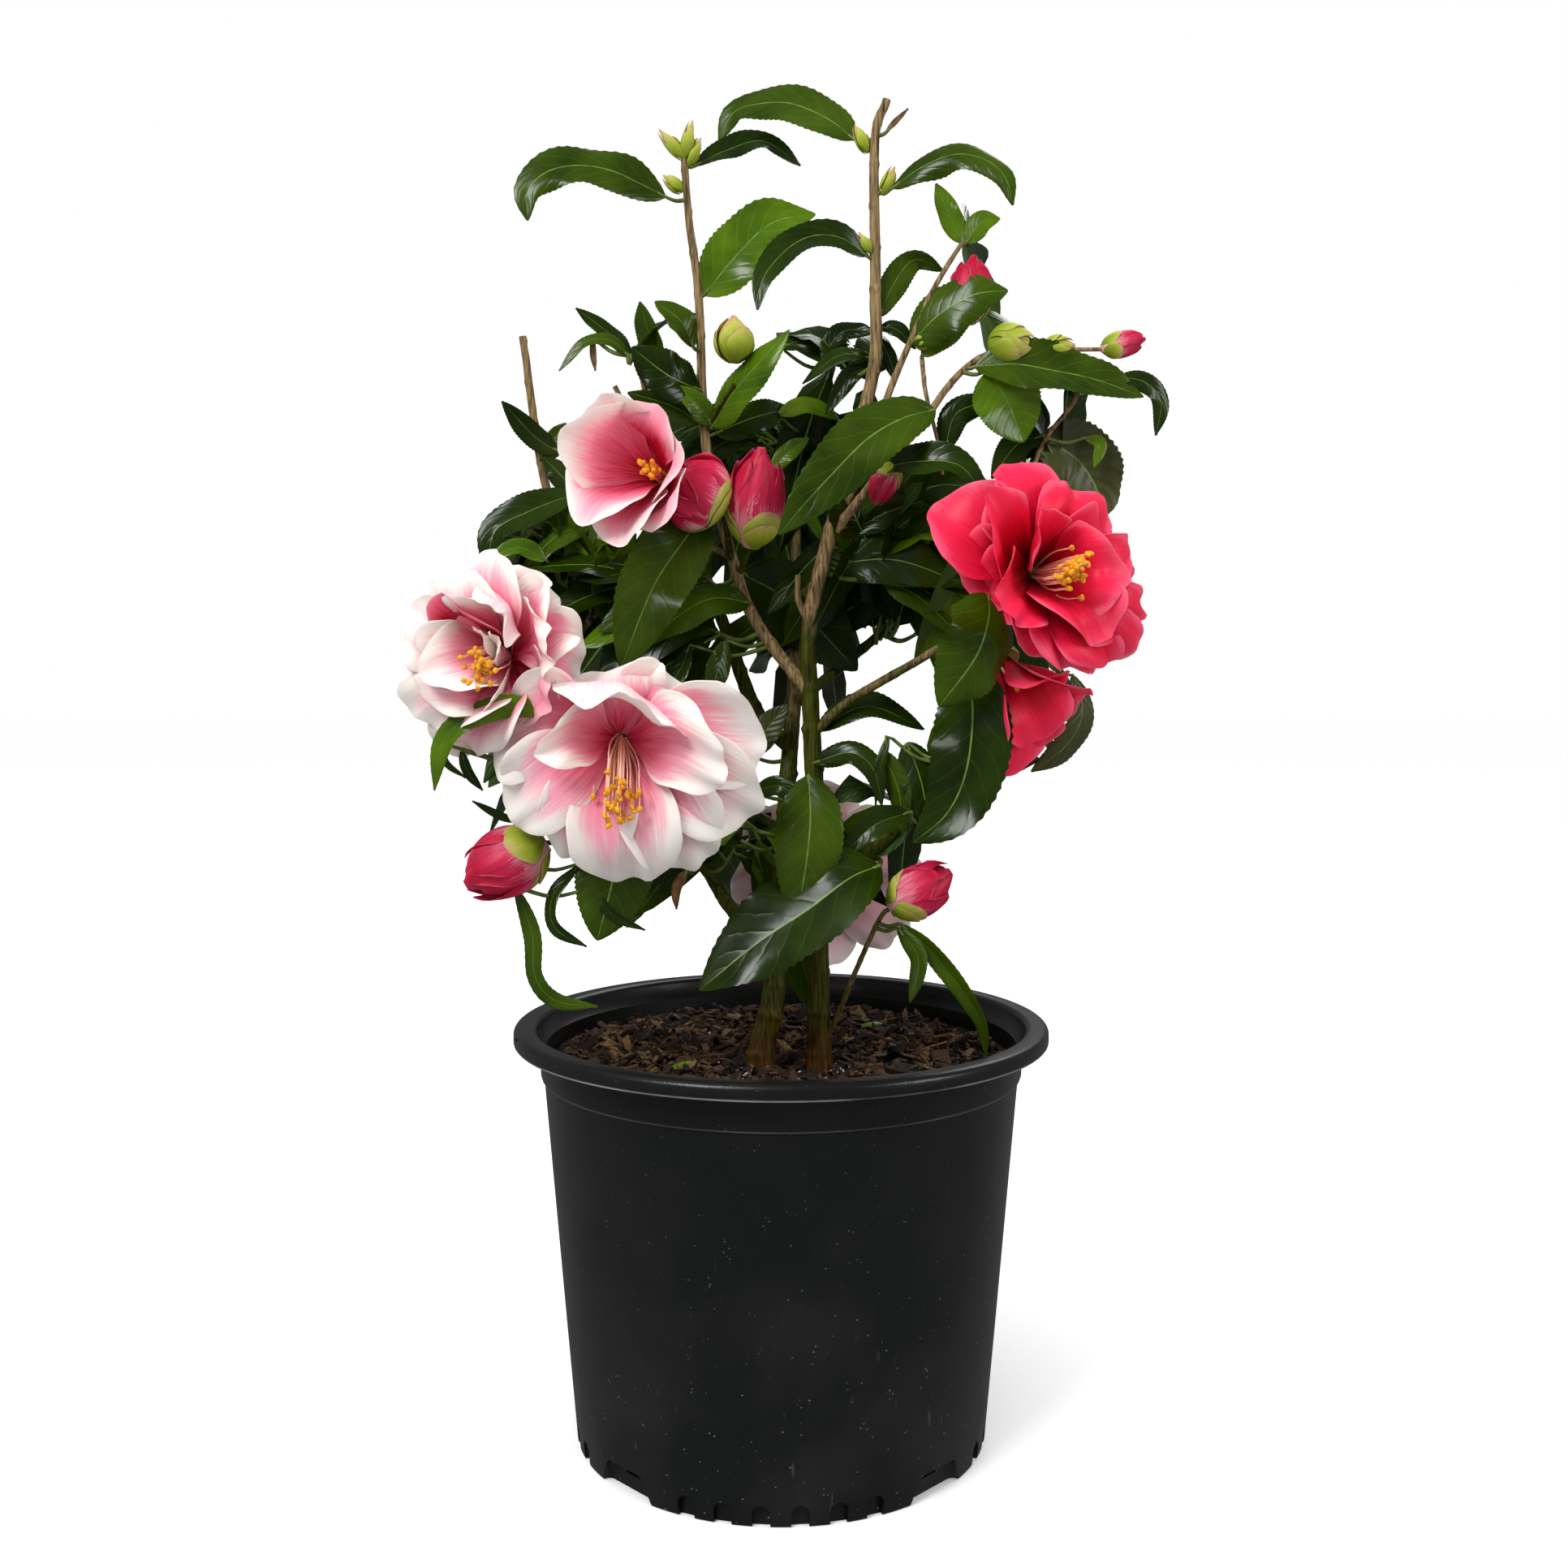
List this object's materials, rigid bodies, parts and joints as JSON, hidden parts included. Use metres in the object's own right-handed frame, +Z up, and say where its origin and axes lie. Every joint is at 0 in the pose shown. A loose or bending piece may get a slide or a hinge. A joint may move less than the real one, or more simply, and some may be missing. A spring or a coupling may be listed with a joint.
{
  "type": "potted camellia shrub",
  "caption": "Young camellia shrub in flower, standing in its round black nursery pot.",
  "frame": {"origin": "centre of the pot's underside, on the plane it stands on", "axes": "+Z up through the pot's axis to the shrub's top, -Y towards the front of the plant, +X to the right seen from the front"},
  "size_m": [0.3326, 0.254, 0.6469],
  "materials": {
    "pot": "moulded matt black plastic, dusty towards the foot",
    "soil": "moist bark and peat potting mix",
    "perlite": "white perlite grains in the mix",
    "bark_green": "smooth olive-brown bark of the main stems",
    "bark_tan": "pale tan bark of boughs and twigs",
    "leaf": "glossy dark green upper side, paler matt underside",
    "leaf_young": "lighter yellow-green leaves",
    "petal_pink": "soft petals, white at the edge, pink streaks, deep pink throat",
    "petal_red": "satin crimson petals",
    "sepal": "yellow-green scales of buds",
    "stamen": "golden anthers on pale filaments"
  },
  "bodies": {
    "root": {"pot": "pot", "soil": "soil", "stem_right": "bark_green", "stem_left": "bark_green", "bough_tall_left": "bark_tan", "bough_low_left": "bark_tan", "bough_back_left": "bark_green", "branch_right": "bark_tan", "branch_upper_right": "bark_tan", "branch_far_right": "bark_tan", "shoot_low_right": "bark_tan", "bough_low_right": "bark_green", "branch_big_bloom": "bark_green", "branch_left": "bark_green", "branch_cup": "bark_tan", "bough_back_right": "bark_green", "bough_back_low": "bark_green", "branch_back_bloom": "bark_green", "leaves_top_left": "leaf", "leaves_top_right": "leaf", "leaves_high_left": "leaf_young", "leaves_high_right": "leaf", "leaves_upper_right": "leaf_young", "leaves_upper_left": "leaf", "leaves_dead_tip": "leaf", "leaves_far_right": "leaf", "leaves_centre_left": "leaf_young", "leaves_centre_top": "leaf", "leaves_centre_high": "leaf", "leaves_glossy_long": "leaf", "leaves_glossy_right": "leaf", "bloom_cup": "petal_pink", "buds_centre": "petal_red", "leaves_behind_red": "leaf_young", "bloom_red": "petal_red", "bloom_red_low": "petal_red", "leaf_red_low": "leaf_young", "leaves_below_cup": "leaf_young", "leaves_left_inner": "leaf", "leaves_left": "leaf", "bloom_left": "petal_pink", "leaf_far_left": "leaf_young", "bloom_big": "petal_pink", "leaves_right_dark": "leaf", "leaves_centre_dark": "leaf", "leaves_right_mid": "leaf", "leaves_right_low": "leaf", "leaves_low_right_inner": "leaf", "leaves_centre_low": "leaf", "leaves_low_centre": "leaf", "bloom_back": "petal_pink", "bud_low_right": "petal_red", "leaves_low_middle": "leaf", "leaves_low_left": "leaf", "bud_low_left": "petal_red", "leaves_back_top": "leaf", "leaves_back_right": "leaf", "leaves_back_left": "leaf", "leaves_back_low": "leaf"}
  },
  "joints": []
}
